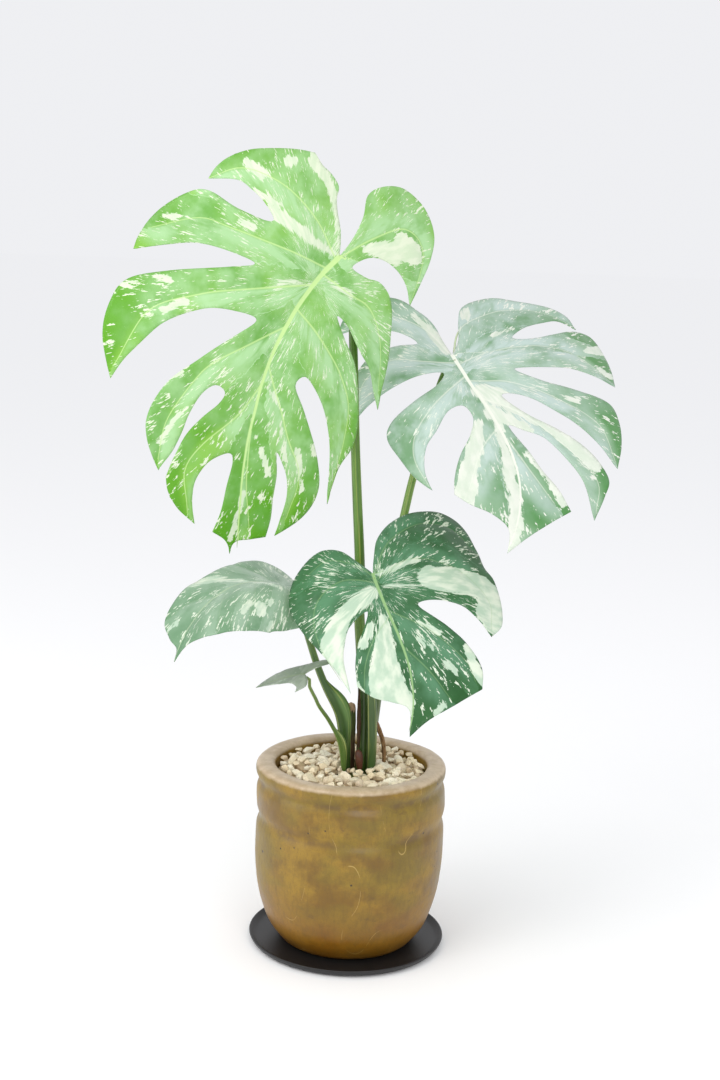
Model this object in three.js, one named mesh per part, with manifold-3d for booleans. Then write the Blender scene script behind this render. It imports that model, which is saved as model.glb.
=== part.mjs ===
// A variegated monstera in a glazed stoneware pot on a black saucer.
// Millimetres, +Z up, the origin at the centre of the saucer's underside, the plant's front towards -Y.
import * as THREE from "three";
import { mergeVertices } from "three/addons/utils/BufferGeometryUtils.js";
import { TessellateModifier } from "three/addons/modifiers/TessellateModifier.js";
import Module from "manifold-3d";

const wasm = await Module();
wasm.setup();

// Driving dimensions
const GAP = 0.3;
const ROUND_STEPS = 40;
const SAUCER_RADIUS = 97;
const SAUCER_HEIGHT = 8;
const SAUCER_FLOOR = 3.7;
const POT_HEIGHT = 181;
const POT_BASE = SAUCER_FLOOR + GAP;
const POT_TOP = POT_BASE + POT_HEIGHT;
const POT_RADIUS = 93;
const MOUTH_RADIUS = 74;
const BELLY_RADIUS = 80;
const POT_FLOOR = POT_BASE + 12;
const DRAIN_RADIUS = 12;
const MESH_RADIUS = 22;
const MESH_THICKNESS = 1.2;
const SOIL_TOP = 158;
const GRAVEL_TOP = 171;
const STONE_COUNT = 48;
const SMALLEST_STONE = 4.8;
const LARGEST_STONE = 7.4;
const STONE_CLEARING = 25;
const ROOT_EASE = 0.25;
const WING_RISE = 1.7;
const CROWN = { x: 5, y: 0, radius: 19, foot: 118, top: 176 };
const LEAF_THICKNESS = 1.2;
const LEAF_EDGE = 27;
const LEAF_CUTS = 12;
const STALK_SIDES = 10;
const STALK_FOOT = CROWN.top + 1.2;

const plant = new THREE.Group();

// Vertices that coincide become one, and faces without area go.
function weld(geometry) {
  const bare = geometry.clone();
  bare.deleteAttribute("normal");
  bare.deleteAttribute("uv");
  const merged = mergeVertices(bare, 1e-3);
  const kept = [];
  const index = merged.index.array;
  for (let i = 0; i < index.length; i += 3) {
    const [a, b, c] = [index[i], index[i + 1], index[i + 2]];
    if (a !== b && b !== c && c !== a) kept.push(a, b, c);
  }
  merged.setIndex(kept);
  return merged;
}

function toManifold(geometry) {
  const closed = weld(geometry);
  const vertProperties = new Float32Array(closed.attributes.position.array);
  const triVerts = new Uint32Array(closed.index.array);
  return new wasm.Manifold(new wasm.Mesh({ numProp: 3, vertProperties, triVerts }));
}

function fromManifold(solid) {
  const made = solid.getMesh();
  const geometry = new THREE.BufferGeometry();
  geometry.setAttribute("position", new THREE.BufferAttribute(made.vertProperties, 3));
  geometry.setIndex(new THREE.BufferAttribute(made.triVerts, 1));
  return geometry;
}

function add(name, geometry, color, roughness, metalness = 0) {
  const shaded = geometry.toNonIndexed();
  shaded.computeVertexNormals();
  const mesh = new THREE.Mesh(shaded, new THREE.MeshStandardMaterial({ color, roughness, metalness }));
  mesh.name = name;
  plant.add(mesh);
}

// A profile of [radius, height] points turned round the upright axis.
function turned(profile, x = 0, y = 0) {
  const points = profile.map(([radius, height]) => new THREE.Vector2(radius, height));
  const geometry = new THREE.LatheGeometry(points, ROUND_STEPS);
  return weld(geometry.rotateX(Math.PI / 2).translate(x, y, 0));
}

// A rounded corner of a profile: a quarter circle or another arc, in degrees.
function arc(radius, height, size, from, to, steps = 3) {
  const points = [];
  for (let i = 0; i <= steps; i++) {
    const angle = THREE.MathUtils.degToRad(from + ((to - from) * i) / steps);
    points.push([radius + size * Math.cos(angle), height + size * Math.sin(angle)]);
  }
  return points;
}

// A smooth line through [radius, height] points.
function smooth(points, steps) {
  const curve = new THREE.SplineCurve(points.map(([x, y]) => new THREE.Vector2(x, y)));
  return curve.getPoints(steps).map((p) => [p.x, p.y]);
}

// Saucer: a flat disc whose edge turns up.
function saucer() {
  const rim = SAUCER_HEIGHT;
  const profile = [
    [0, 0],
    [SAUCER_RADIUS - 12, 0],
    [SAUCER_RADIUS - 3, 3],
    [SAUCER_RADIUS, rim - 0.6],
    [SAUCER_RADIUS - 0.6, rim],
    [SAUCER_RADIUS - 2, rim - 0.4],
    [SAUCER_RADIUS - 5, SAUCER_FLOOR + 1.3],
    [SAUCER_RADIUS - 11, SAUCER_FLOOR],
    [0, SAUCER_FLOOR],
  ];
  add("saucer", turned(profile), 0x26272a, 0.5);
}

// Pot: a full-bellied jar with two shallow grooves under a thick lip, and a drain hole.
function potWall() {
  const outside = smooth(
    [
      [66, POT_BASE + 3],
      [78, POT_BASE + 18],
      [84.5, POT_BASE + 34],
      [90, POT_BASE + 56],
      [92.8, POT_BASE + 84],
      [93, POT_BASE + 108],
      [91.6, POT_BASE + 127],
      [93, POT_BASE + 146],
      [91.6, POT_BASE + 163],
      [93, POT_BASE + 171],
    ],
    17,
  );
  const inside = smooth(
    [
      [MOUTH_RADIUS, POT_TOP - 3],
      [MOUTH_RADIUS, POT_TOP - 14],
      [BELLY_RADIUS - 1, POT_TOP - 40],
      [BELLY_RADIUS, POT_TOP - 85],
      [73, POT_FLOOR + 36],
      [57, POT_FLOOR],
    ],
    8,
  );
  return { outside, inside };
}

function pot() {
  const { outside, inside } = potWall();
  const profile = [
    [DRAIN_RADIUS, POT_BASE],
    [60, POT_BASE],
    ...outside,
    ...arc(POT_RADIUS - 5, POT_TOP - 5, 5, 0, 90),
    ...arc(MOUTH_RADIUS + 3, POT_TOP - 3, 3, 90, 180),
    ...inside.slice(1),
    [DRAIN_RADIUS, POT_FLOOR],
    [DRAIN_RADIUS, POT_BASE],
  ];
  add("pot", turned(profile), 0x8f7439, 0.42);
}

function drainMesh() {
  const low = POT_FLOOR + GAP;
  const high = low + MESH_THICKNESS;
  add("drain_mesh", turned([[0, low], [MESH_RADIUS, low], [MESH_RADIUS, high], [0, high]]), 0x1c1c1c, 0.6);
}

// Crown: the short thick stem at the gravel's level, which every stalk grows from.
function crownProfile(extra) {
  const { radius, foot, top } = CROWN;
  return [
    [0, foot - extra],
    [radius * 0.55 + extra, foot - extra],
    [radius * 0.8 + extra, foot + 12],
    [radius * 0.9 + extra, foot + 30],
    [radius + extra, foot + 44],
    [radius + extra, top - 4],
    [radius - 2 + extra, top + extra],
    [0, top + extra],
  ];
}

function crownSpace() {
  return toManifold(turned(crownProfile(GAP + 0.1), CROWN.x, CROWN.y));
}

function mainStem() {
  add("main_stem", turned(crownProfile(0), CROWN.x, CROWN.y), 0x6f7a3c, 0.7);
}

// Soil: fills the pot up to the gravel, with room for the drain mesh and the crown.
function pottingSoil() {
  const inset = GAP + 0.1;
  const wall = potWall()
    .inside.slice(1)
    .map(([radius, height]) => [radius - inset, height])
    .filter(([, height]) => height < SOIL_TOP - 4 && height > POT_FLOOR + 2);
  const overMesh = POT_FLOOR + MESH_THICKNESS + 2 * GAP;
  const profile = [
    [0, overMesh],
    [MESH_RADIUS + 1, overMesh],
    [MESH_RADIUS + 1, POT_FLOOR + GAP],
    [55, POT_FLOOR + GAP],
    ...wall.reverse(),
    [MOUTH_RADIUS + 1, SOIL_TOP],
    [0, SOIL_TOP],
  ];
  const soil = toManifold(turned(profile)).subtract(crownSpace());
  add("potting_soil", fromManifold(soil), 0x3b2a1d, 0.95);
}

// A repeatable stream of numbers between 0 and 1.
function randomStream(seed) {
  let state = seed;
  return () => {
    state = (state * 16807) % 2147483647;
    return state / 2147483647;
  };
}

// Gravel: a layer of pumice whose upper stones stand out of it in a spiral scatter.
function gravelBed(root) {
  const random = randomStream(7);
  const edge = MOUTH_RADIUS - GAP - 0.6;
  const low = SOIL_TOP + GAP;
  const layer = [[0, low], [edge, low], [edge, GRAVEL_TOP - 2], [edge - 4, GRAVEL_TOP], [0, GRAVEL_TOP]];
  let bed = toManifold(turned(layer));
  const goldenAngle = Math.PI * (3 - Math.sqrt(5));
  for (let i = 0; i < STONE_COUNT; i++) {
    const size = SMALLEST_STONE + (LARGEST_STONE - SMALLEST_STONE) * random();
    const band = edge - size - 1 - STONE_CLEARING;
    const reach = STONE_CLEARING + band * Math.sqrt((i + 0.5) / STONE_COUNT);
    const angle = i * goldenAngle;
    const stone = new THREE.IcosahedronGeometry(size, 0);
    stone.scale(1, 0.7 + 0.25 * random(), 0.6 + 0.2 * random());
    stone.rotateX(random() * Math.PI).rotateZ(random() * Math.PI);
    stone.translate(reach * Math.cos(angle), reach * Math.sin(angle), GRAVEL_TOP + 1.5 * random());
    bed = bed.add(toManifold(stone));
  }
  bed = bed.subtract(crownSpace()).subtract(toManifold(root));
  add("gravel_bed", fromManifold(bed), 0xc9b899, 0.9);
}

// A round rod that follows a smooth path through [x, y, z] points. radius(u) is its radius from
// the foot (u = 0) to the head (u = 1). A wing stands out on one side: wing(u) far, towards side.
function rod({ path, radius, wing = () => 0, side = [1, 0, 0], steps = 24, sides = STALK_SIDES }) {
  const curve = new THREE.CatmullRomCurve3(path.map((p) => new THREE.Vector3(...p)));
  const frames = curve.computeFrenetFrames(steps, false);
  const outwards = new THREE.Vector3(...side).normalize();
  const geometry = weld(new THREE.CylinderGeometry(1, 1, 1, sides, steps));
  const position = geometry.attributes.position;
  for (let i = 0; i < position.count; i++) {
    const u = position.getY(i) + 0.5;
    const step = Math.round(u * steps);
    const across = new THREE.Vector3()
      .addScaledVector(frames.binormals[step], position.getX(i))
      .addScaledVector(frames.normals[step], position.getZ(i));
    const facing = Math.max(0, across.dot(outwards));
    const reach = radius(u) + wing(u) * facing ** 3;
    const point = curve.getPointAt(u).addScaledVector(across, reach);
    position.setXYZ(i, point.x, point.y, point.z);
  }
  return geometry;
}

// A radius that narrows from foot to head, a little faster near the foot.
function taper(foot, head) {
  const power = 0.8;
  return (u) => foot + (head - foot) * u ** power;
}

// A leaf is drawn flat and then bent. On the flat leaf the midrib's ends lie on the line s = 0,
// from the base at t = 0 to the tip at t = length, and s grows towards the leaf's left side, as seen
// with the tip down. The outline is a list of smooth runs that meet in corners.
const LEAVES = {
  top: {
    at: [-27.6, -34, 674.4],
    turn: [158, -75, -62],
    length: 300,
    width: 340,
    droop: 37,
    curl: [46, 26],
    fold: 0.12,
    crease: 12,
    sway: [265, 160],
    color: 0x8cc450,
    outline: [
      [[0, 0], [4, -22], [9, -38], [11, -51], [10, -63], [20, -72], [31, -77], [40, -86]],
      [[40, -86], [66, -84], [101, -77], [123, -67], [135, -56], [141, -44]],
      [[141, -44], [114, -46], [99, -38], [86, -28], [76, -16], [85, -13], [112, -19], [141, -32], [162, -27],
        [187, -6], [202, 23], [206, 40]],
      [[206, 40], [174, 29], [146, 22], [114, 24], [91, 29], [117, 38], [171, 54], [206, 70], [218, 96],
        [216, 128], [197, 163]],
      [[197, 163], [187, 135], [166, 101], [131, 79], [100, 74], [79, 77], [97, 95], [124, 122], [147, 150],
        [154, 182], [146, 205], [122, 232]],
      [[122, 232], [118, 212], [117, 190], [117, 172], [112, 152], [102, 141], [90, 145], [92, 156],
        [104, 172], [112, 190], [114, 212], [113, 236]],
      [[113, 236], [104, 250], [86, 264], [64, 274]],
      [[64, 274], [80, 247], [85, 228], [80, 209], [64, 198], [55, 206], [50, 232], [44, 257], [42, 278]],
      [[42, 278], [27, 283], [17, 290], [10, 299]],
      [[10, 299], [12, 287], [-2, 279], [-17, 273]],
      [[-17, 273], [-12, 254], [-4, 234], [4, 210], [14, 188], [2, 198], [-10, 212], [-20, 234], [-26, 270]],
      [[-26, 270], [-46, 248], [-53, 230], [-50, 210], [-36, 187], [-15, 163], [3, 143], [20, 124], [13, 114],
        [-4, 123], [-24, 142], [-41, 164], [-55, 190], [-72, 229]],
      [[-72, 229], [-70, 192], [-77, 170], [-76, 150], [-64, 126], [-44, 94], [-22, 72], [-6, 54], [-22, 60],
        [-44, 79], [-68, 95], [-98, 128]],
      [[-98, 128], [-94, 96], [-84, 62], [-70, 28], [-51, 13], [-32, 12], [-14, 7], [-29, -5], [-46, -9],
        [-66, -5], [-84, 6], [-98, 23]],
      [[-98, 23], [-106, -2], [-114, -26], [-116, -52], [-98, -74], [-70, -83], [-42, -77], [-25, -64],
        [-21, -42], [-11, -18], [0, 0]],
    ],
  },
  right: {
    at: [83.7, 64, 582],
    turn: [-163, -37, 7],
    length: 228,
    width: 260,
    droop: 22,
    curl: [52, 22],
    fold: 0.1,
    crease: 10,
    sway: [-32, -178],
    color: 0x7fa886,
    outline: [
      [[0, 0], [4, -20], [8, -46], [18, -72], [36, -102], [64, -110], [92, -100], [106, -82]],
      [[106, -82], [80, -66], [56, -52], [40, -38], [31, -20], [56, -24], [86, -20], [110, 4], [117, 40]],
      [[117, 40], [98, 34], [62, 26], [40, 23], [15, 24], [27, 40], [56, 53], [82, 66], [89, 80], [82, 104],
        [72, 128], [56, 150]],
      [[56, 150], [59, 126], [52, 104], [38, 90], [22, 72], [6, 68], [0, 84], [8, 104], [22, 123], [32, 144],
        [36, 161]],
      [[36, 161], [22, 176], [3, 190], [-8, 206], [-2, 228]],
      [[-2, 228], [-23, 216], [-46, 205], [-70, 195]],
      [[-70, 195], [-64, 173], [-54, 153], [-45, 130], [-32, 97], [-46, 104], [-64, 115], [-78, 138],
        [-90, 166], [-92, 205]],
      [[-92, 205], [-108, 182], [-117, 162], [-104, 132], [-80, 107], [-54, 85], [-34, 61], [-52, 61],
        [-74, 76], [-98, 98], [-116, 122], [-130, 152]],
      [[-130, 152], [-142, 126], [-149, 98], [-146, 73], [-118, 58], [-84, 46], [-56, 28], [-84, 25],
        [-116, 25], [-140, 31], [-165, 44]],
      [[-165, 44], [-172, 12], [-172, -16], [-164, -38], [-142, -39], [-112, -26], [-84, -17], [-67, -19],
        [-86, -35], [-110, -47], [-132, -54], [-150, -46]],
      [[-150, -46], [-144, -66], [-124, -78], [-92, -82], [-64, -85], [-42, -80], [-26, -68], [-18, -47],
        [-11, -20], [0, 0]],
    ],
  },
  front: {
    at: [13, -60, 387],
    turn: [-165, -34, 6],
    length: 172,
    width: 220,
    droop: 22,
    curl: [50, 32],
    fold: 0.1,
    crease: 8,
    sway: [-2, -88],
    color: 0x5b8a58,
    outline: [
      [[0, 0], [12, -16], [24, -32], [42, -38], [62, -28], [80, -8], [87, 18], [80, 46], [67, 72], [54, 98],
        [44, 124]],
      [[44, 124], [45, 92], [40, 72], [32, 57], [14, 45], [20, 62], [29, 78], [35, 98], [37, 118]],
      [[37, 118], [24, 132], [8, 139], [-6, 148], [-2, 172]],
      [[-2, 172], [-20, 160], [-47, 148], [-77, 134]],
      [[-77, 134], [-81, 114], [-72, 88], [-56, 68], [-34, 43], [-56, 38], [-78, 44], [-92, 60], [-101, 78]],
      [[-101, 78], [-118, 62], [-128, 30], [-130, -2], [-122, -18], [-120, -44], [-112, -80], [-94, -94],
        [-66, -89], [-36, -72], [-14, -46], [-5, -20], [0, 0]],
    ],
  },
  left: {
    at: [-58, -8, 356],
    turn: [126, 28, 1],
    length: 165,
    width: 150,
    droop: 98,
    curl: [-2, 75],
    fold: 0.3,
    crease: 8,
    sway: [70, 5],
    color: 0x87b088,
    outline: [
      [[0, 0], [12, -16], [34, -22], [54, -8], [58, 16], [50, 42], [43, 70], [41, 100], [33, 134], [16, 148],
        [3, 154], [0, 166]],
      [[0, 166], [-10, 149], [-26, 137], [-42, 124], [-60, 106], [-80, 76], [-86, 45], [-80, 16], [-62, -10],
        [-36, -22], [-12, -16], [0, 0]],
    ],
  },
  young: {
    at: [-48, -40, 283],
    turn: [69, -16, -25],
    length: 57,
    width: 46,
    droop: 14,
    curl: [29, 20],
    fold: 0.25,
    crease: 3,
    sway: [0, 0],
    color: 0x8ba386,
    outline: [
      [[0, 0], [6, -10], [11, -24], [16, -29]],
      [[16, -29], [18, -16], [14, 2], [13, 18], [10, 34], [4, 48], [0, 57]],
      [[0, 57], [-6, 38], [-10, 22], [-14, 10], [-22, 2], [-29, 2]],
      [[-29, 2], [-22, -8], [-10, -6], [0, 0]],
    ],
  },
};

// How far the midrib lies from the line s = 0 at height t of the flat leaf.
function midribOffset(leaf, t) {
  const [early, late] = leaf.sway;
  const u = t / leaf.length;
  if (u < 0) return early * u * Math.exp(t / 30);
  return u * (1 - u) * (early * (1 - u) + late * u);
}

function leafTurn(leaf) {
  const [heading, pitch, roll] = leaf.turn.map(THREE.MathUtils.degToRad);
  return new THREE.Matrix4()
    .makeRotationZ(heading)
    .multiply(new THREE.Matrix4().makeRotationX(pitch))
    .multiply(new THREE.Matrix4().makeRotationY(roll))
    .setPosition(...leaf.at);
}

// The flat point (s, t), raised by lift, on the bent leaf: the midrib droops along an arc, each half
// curls down along an arc of its own, and the blade folds up a little from the midrib's crease.
function bentPoint(leaf, s, t, lift) {
  const bend = THREE.MathUtils.degToRad(leaf.droop) / leaf.length;
  const offset = midribOffset(leaf, t);
  const away = s - offset;
  const [leftCurl, rightCurl] = leaf.curl;
  const curl = THREE.MathUtils.degToRad(away > 0 ? leftCurl : rightCurl) / (leaf.width / 2);
  const sideways = Math.sin(curl * away) / curl + offset;
  const rise = leaf.fold * (Math.hypot(away, leaf.crease) - leaf.crease);
  const height = lift + rise - (1 - Math.cos(curl * away)) / curl;
  const forwards = Math.sin(bend * t) / bend + height * Math.sin(bend * t);
  const upwards = -(1 - Math.cos(bend * t)) / bend + height * Math.cos(bend * t);
  return new THREE.Vector3(sideways, forwards, upwards).applyMatrix4(leafTurn(leaf));
}

function leafBlade(leaf) {
  const shape = new THREE.Shape();
  shape.moveTo(...leaf.outline[0][0]);
  for (const run of leaf.outline) shape.splineThru(run.slice(1).map(([s, t]) => new THREE.Vector2(s, t)));
  const solid = { depth: LEAF_THICKNESS, bevelEnabled: false, curveSegments: 1 };
  const flat = new THREE.ExtrudeGeometry(shape, solid);
  const fine = weld(new TessellateModifier(LEAF_EDGE, LEAF_CUTS).modify(flat));
  const position = fine.attributes.position;
  for (let i = 0; i < position.count; i++) {
    const lift = position.getZ(i) - LEAF_THICKNESS;
    const point = bentPoint(leaf, position.getX(i), position.getY(i), lift);
    position.setXYZ(i, point.x, point.y, point.z);
  }
  return fine;
}

// Where a stalk meets its leaf: just under the blade at the midrib's start, coming from below.
function stalkHead(leaf, radius) {
  const under = LEAF_THICKNESS + 2 * GAP;
  const end = bentPoint(leaf, 0, radius + 1, -under);
  const neck = bentPoint(leaf, 0, radius + 1, -under - 1.6 * radius);
  const elbow = bentPoint(leaf, 0, -1.2 * radius, -under - 4.4 * radius);
  return [elbow.toArray(), neck.toArray(), end.toArray()];
}

const STALKS = {
  top: {
    foot: [[9, 1, STALK_FOOT], [10, 3, 206], [9, 6, 256], [2, 10, 330], [1, 11, 375], [-4, 12, 443],
      [-8, 12, 500], [-13, 9, 590], [-18, 2, 640]],
    size: [6.2, 3.6],
    wing: 4,
    wingEnd: 0.3,
    side: [-0.2, 1, 0],
    color: 0x6f9a3f,
  },
  right: {
    foot: [[16, 12, STALK_FOOT], [18, 13, 206], [22, 18, 256], [28, 30, 322], [37, 44, 390], [44, 52, 430],
      [51, 60, 463], [63, 73, 508], [73, 81, 548]],
    size: [5.2, 3.4],
    wing: 3,
    wingEnd: 0.25,
    side: [0.6, 0.8, 0],
    color: 0x6f9a3f,
  },
  front: {
    foot: [[19, -6, STALK_FOOT], [18.5, -6.5, 206], [16, -8, 256], [14, -15, 301], [13, -30, 340],
      [13, -46, 366]],
    size: [4.6, 2.8],
    wing: 2,
    wingEnd: 0.4,
    side: [1, 0.1, 0],
    color: 0x7da24a,
  },
  left: {
    foot: [[-6, -3, STALK_FOOT], [-8.5, -4, 200], [-14, -5, 232], [-27, -7, 259], [-36, -8, 280],
      [-46, -9, 309], [-53, -6, 330]],
    size: [4.8, 2.9],
    wing: 7,
    wingEnd: 0.5,
    side: [0.7, -0.3, 0.6],
    color: 0x5f7d3c,
  },
  young: {
    foot: [[-8, -11.5, STALK_FOOT], [-10, -14, 196], [-14.5, -18, 214], [-24, -24, 233], [-33, -32, 248],
      [-37, -35, 257], [-43, -39, 270]],
    size: [2.6, 1.5],
    wing: 3,
    wingEnd: 0.45,
    side: [0.8, 0, 0.4],
    color: 0x6d8a45,
  },
};

function leavesAndStalks() {
  for (const [name, leaf] of Object.entries(LEAVES)) {
    const stalk = STALKS[name];
    const [footRadius, headRadius] = stalk.size;
    const geometry = rod({
      path: [...stalk.foot, ...stalkHead(leaf, headRadius)],
      radius: taper(footRadius, headRadius),
      wing: (u) => stalk.wing * Math.sin(Math.PI * Math.min(1, u / stalk.wingEnd) ** WING_RISE),
      side: stalk.side,
    });
    add(name + "_leaf_stalk", geometry, stalk.color, 0.45);
    add(name + "_leaf", leafBlade(leaf), leaf.color, 0.35);
  }
}

// Small pieces of the crown: the stub of a cut stalk, a dry sheath, a bud and an aerial root.
function stalkStub() {
  const path = [[-2, 8, STALK_FOOT], [-2, 7, 204], [-2, 5, 228], [-3, 4, 243]];
  const radius = (u) => 4.2 + 0.6 * (1 - u);
  add("cut_stalk_stub", rod({ path, radius, steps: 8 }), 0xb9a06a, 0.7);
}

function drySheath() {
  const path = [[6, -8.4, 206], [5.5, -7.6, 225], [5, -5.4, 245], [4.6, -3, 258]];
  const radius = (u) => 0.6 + 1.4 * Math.sin(Math.PI * (0.15 + 0.8 * u));
  add("dry_sheath", rod({ path, radius, steps: 8, sides: 6 }), 0x5a3d22, 0.85);
}

function rootBud() {
  const path = [[8, -9.8, STALK_FOOT], [7.2, -11.2, 188], [5.8, -11, 200]];
  const radius = (u) => 2.4 + 1.6 * Math.sin(Math.PI * u ** 1.3);
  add("root_bud", rod({ path, radius, steps: 8, sides: 8 }), 0x8a4a2c, 0.6);
}

function aerialRootSolid(extra) {
  const path = [[22, 4, 224], [26, 8, 214], [29.5, 13, 203], [31.5, 18, 190], [32, 21, 168 - 4 * extra]];
  const radius = (u) => 2.4 - 0.5 * u + extra;
  return rod({ path, radius, steps: 10, sides: 8 });
}

function aerialRoot() {
  add("aerial_root", aerialRootSolid(0), 0x6b4a2e, 0.8);
}

saucer();
pot();
drainMesh();
pottingSoil();
gravelBed(aerialRootSolid(GAP + ROOT_EASE));
mainStem();
stalkStub();
drySheath();
rootBud();
aerialRoot();
leavesAndStalks();

export default plant;
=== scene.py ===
"""A variegated monstera in a glazed stoneware pot on a black saucer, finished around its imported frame.

The frame is in metres; the sizes below are in millimetres, as the plant is measured, and MM turns them.
"""

import math
import random

import bmesh
import bpy
import numpy as np
from mathutils import Matrix, Vector, noise


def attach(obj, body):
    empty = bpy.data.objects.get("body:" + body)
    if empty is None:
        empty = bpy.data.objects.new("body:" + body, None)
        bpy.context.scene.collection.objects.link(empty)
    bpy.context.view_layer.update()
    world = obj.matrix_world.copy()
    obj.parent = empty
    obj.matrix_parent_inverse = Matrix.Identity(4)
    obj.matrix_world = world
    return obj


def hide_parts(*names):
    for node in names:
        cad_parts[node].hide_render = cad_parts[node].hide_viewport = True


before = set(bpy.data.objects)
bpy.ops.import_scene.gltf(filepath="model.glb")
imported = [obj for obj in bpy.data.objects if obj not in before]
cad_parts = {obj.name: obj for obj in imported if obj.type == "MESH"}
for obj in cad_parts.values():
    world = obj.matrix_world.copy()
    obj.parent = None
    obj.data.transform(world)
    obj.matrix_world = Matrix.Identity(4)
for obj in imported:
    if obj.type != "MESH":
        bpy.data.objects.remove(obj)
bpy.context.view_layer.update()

MM = 0.001
STUDIO_LIGHT = 1.12
BLADE_THICKNESS = 0.7
BLADE_MESH = 3.2
OUTLINE_STEP = 3.0
STALK_SIDES = 20
SAUCER_RADIUS = 97
POT_BASE = 4
POT_TOP = 185
POT_RADIUS = 93
MOUTH_RADIUS = 74
DRAIN_RADIUS = 12
GRAVEL_LEVEL = 171
GRAVEL_STONES = 600
CROWN_PLACE = (5, 0)
CROWN_RADIUS = 19


def srgb(red, green, blue):
    """A display colour from 0 to 255 as the linear colour that a shader takes."""
    return tuple(((c / 255 + 0.055) / 1.055) ** 2.4 for c in (red, green, blue)) + (1.0,)


def lit(red, green, blue):
    """The skin colour that looks like this display colour in the studio's light."""
    return tuple(c / STUDIO_LIGHT for c in srgb(red, green, blue)[:3]) + (1.0,)

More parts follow.
